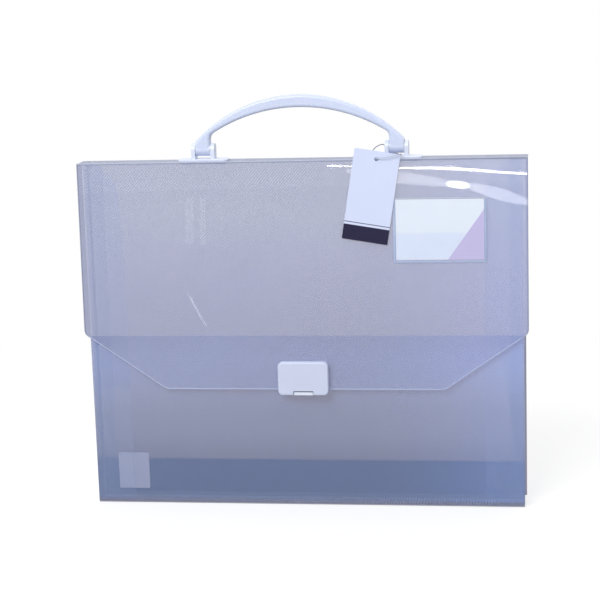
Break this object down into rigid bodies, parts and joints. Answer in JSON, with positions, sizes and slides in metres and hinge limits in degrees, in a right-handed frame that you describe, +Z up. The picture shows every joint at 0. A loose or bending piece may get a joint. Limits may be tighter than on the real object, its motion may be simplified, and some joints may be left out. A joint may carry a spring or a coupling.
{
  "type": "plastic carry case",
  "caption": "Slim translucent plastic carry case for large sheets, with an arched handle, a fold-over flap with a press latch, a card pocket and a swing tag.",
  "frame": {"origin": "centre of the flat base that the case stands on", "axes": "+X to the viewer's right along the case's width, +Y from the flap side to the back, +Z up"},
  "size_m": [0.45, 0.0408, 0.4183],
  "materials": {
    "case_sheet": "frosted translucent polypropylene sheet with a fine slanted line texture",
    "lid_sheet": "frosted translucent polypropylene sheet with a fine slanted line texture",
    "handle_plastic": "milky white moulded plastic, satin",
    "bracket_plastic": "milky white moulded plastic, satin",
    "backing_plastic": "milky white moulded plastic, matt",
    "latch_plastic": "milky white moulded plastic, satin",
    "clear_film": "clear soft plastic film, glossy",
    "card_stock": "smooth pale card, matt",
    "tag_card": "coated pale card with a dark plain band",
    "tag_thread": "thin elastic thread",
    "label_paper": "plain adhesive paper label"
  },
  "bodies": {
    "case_body": {"bottom_panel": "case_sheet", "back_panel": "case_sheet", "front_panel": "case_sheet", "left_gusset": "case_sheet", "right_gusset": "case_sheet", "catch_base": "latch_plastic", "catch_back_plate": "backing_plastic", "price_label": "label_paper"},
    "top_lid": {"top_panel": "lid_sheet", "left_handle_bracket": "bracket_plastic", "right_handle_bracket": "bracket_plastic", "left_bracket_backing_plate": "backing_plastic", "right_bracket_backing_plate": "backing_plastic", "tag_string": "tag_thread"},
    "flap": {"closing_flap": "lid_sheet", "latch_cover": "latch_plastic", "latch_back_plate": "backing_plastic", "card_pocket": "clear_film"},
    "carry_handle": {"handle": "handle_plastic"},
    "press_tongue": {"latch_tongue": "latch_plastic"},
    "pocket_card": {"name_card": "card_stock"},
    "hanging_tag": {"swing_tag": "tag_card"}
  },
  "joints": [
    {"name": "lid_hinge", "type": "hinge", "parent": "case_body", "child": "top_lid", "pos_m": [0, 0.014, 0.353], "axis": [-1, 0, 0], "range_deg": [0, 90]},
    {"name": "flap_hinge", "type": "hinge", "parent": "top_lid", "child": "flap", "pos_m": [0, -0.014, 0.354], "axis": [-1, 0, 0], "range_deg": [0, 88], "deforming": ["tag_string"]},
    {"name": "handle_pivot", "type": "hinge", "parent": "top_lid", "child": "carry_handle", "pos_m": [0, 0, 0.365], "axis": [1, 0, 0], "range_deg": [-90, 80], "deforming": ["tag_string"]},
    {"name": "tongue_press", "type": "hinge", "parent": "case_body", "child": "press_tongue", "pos_m": [0, -0.01905, 0.144], "axis": [1, 0, 0], "range_deg": [0, 5], "stiffness_Nm_per_rad": 0.3},
    {"name": "card_slide", "type": "slide", "parent": "flap", "child": "pocket_card", "axis": [0, 0.0201, 0.9998], "range_m": [0, 0.0365]},
    {"name": "tag_swing", "type": "hinge", "parent": "flap", "child": "hanging_tag", "pos_m": [0.078, -0.01658, 0.35475], "axis": [0, 0.9998, -0.0201], "range_deg": [-30, 30], "deforming": ["tag_string"]}
  ]
}
